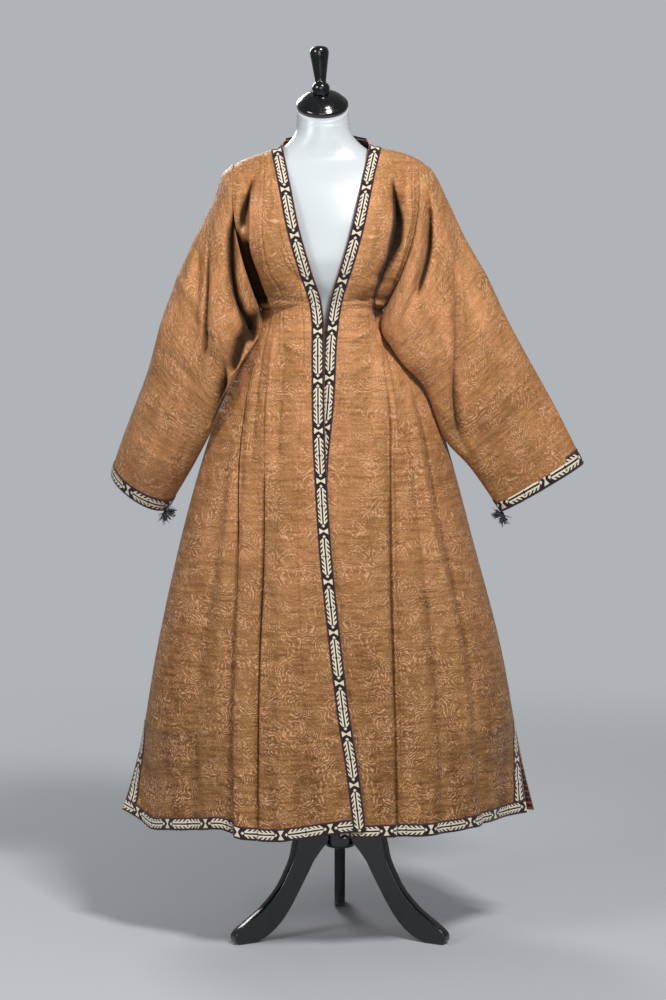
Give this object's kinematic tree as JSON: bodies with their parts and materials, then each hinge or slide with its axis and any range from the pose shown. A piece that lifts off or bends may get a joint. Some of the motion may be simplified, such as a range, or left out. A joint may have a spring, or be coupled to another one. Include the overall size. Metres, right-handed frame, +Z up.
{
  "type": "chapan robe on a limbless dress form with a floor stand",
  "caption": "Ankle-length brocade robe with wide sleeves and woven band edging, open down the front, worn by a limbless dress form on a black floor stand.",
  "frame": {"origin": "middle of the part's box, on the floor under the stand", "axes": "+Z up; -Y towards the viewer of the robe's front; +X to that viewer's right, the wearer's left"},
  "size_m": [0.958, 0.5048, 1.7739],
  "materials": {
    "brocade": "woven, slight sheen",
    "woven_band": "matte",
    "lining": "matte",
    "yarn": "matte",
    "form_cover": "smooth, matte",
    "black_lacquer": "gloss lacquer"
  },
  "bodies": {
    "root": {"right_front": "brocade", "left_front": "brocade", "back": "brocade", "right_sleeve": "brocade", "left_sleeve": "brocade", "front_band_right": "woven_band", "front_band_left": "woven_band", "hem_band_right": "woven_band", "hem_band_left": "woven_band", "hem_band_back": "woven_band", "slit_band_right_front": "woven_band", "slit_band_left_front": "woven_band", "slit_band_right_back": "woven_band", "slit_band_left_back": "woven_band", "back_neck_band": "woven_band", "cuff_band_right": "woven_band", "cuff_band_left": "woven_band", "back_lining": "lining", "tassel_right": "yarn", "tassel_left": "yarn", "torso": "form_cover", "neck_cap": "black_lacquer", "cap_handle": "black_lacquer", "pole": "black_lacquer", "hub": "black_lacquer", "leg_front_right": "black_lacquer", "leg_front_left": "black_lacquer", "leg_back": "black_lacquer"}
  },
  "joints": []
}
